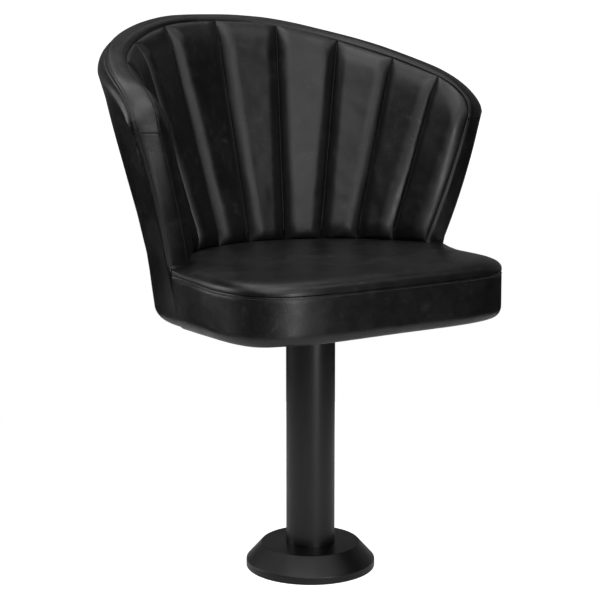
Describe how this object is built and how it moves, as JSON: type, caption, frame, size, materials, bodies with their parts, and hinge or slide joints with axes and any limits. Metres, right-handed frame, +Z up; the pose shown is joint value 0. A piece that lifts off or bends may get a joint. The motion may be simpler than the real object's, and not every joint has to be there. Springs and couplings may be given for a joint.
{
  "type": "pedestal swivel armchair",
  "caption": "Fluted tub armchair with a padded border and a round-backed seat, turning on a fixed floor column with a conical base cover.",
  "frame": {"origin": "On the floor at the column's axis, in the middle of the anchor holes, on the underside of the floor flange.", "axes": "+Z is up along the column and the swivel's axis. The chair faces -Y at rest and +X is to the right seen from the front."},
  "size_m": [0.645, 0.547, 0.856],
  "materials": {
    "black_leather": "soft satin leather with a fine grain",
    "black_paint": "satin black powder coat",
    "raw_steel": "zinc plated steel",
    "bush_plastic": "plain natural bearing plastic",
    "plywood": "raw moulded birch plywood",
    "foam": "cut seating foam",
    "black_cloth": "thin black lining cloth"
  },
  "bodies": {
    "pedestal": {"floor_flange": "raw_steel", "column_tube": "black_paint", "base_cover": "black_paint", "bearing_housing": "raw_steel", "lower_bush": "bush_plastic", "upper_bush": "bush_plastic", "thrust_washer": "bush_plastic"},
    "seat": {"spindle": "raw_steel", "retaining_washer": "raw_steel", "retaining_ring": "raw_steel", "seat_plate": "black_paint", "plate_bolts": "raw_steel", "plate_washers": "raw_steel", "tee_nuts": "raw_steel", "seat_board": "plywood", "dust_cover": "black_cloth", "seat_foam": "foam", "seat_top": "black_leather", "seat_boxing": "black_leather", "back_shell": "plywood", "shell_screws": "raw_steel", "flute_left_1": "black_leather", "flute_left_2": "black_leather", "flute_left_3": "black_leather", "flute_left_4": "black_leather", "flute_left_5": "black_leather", "flute_right_1": "black_leather", "flute_right_2": "black_leather", "flute_right_3": "black_leather", "flute_right_4": "black_leather", "flute_right_5": "black_leather", "border_top": "black_leather", "border_lower_left": "black_leather", "border_lower_right": "black_leather", "outer_back_cover": "black_leather"}
  },
  "joints": [
    {"name": "seat_swivel", "type": "hinge", "parent": "pedestal", "child": "seat", "pos_m": [0, 0, 0.389], "axis": [0, 0, 1], "continuous": true}
  ]
}
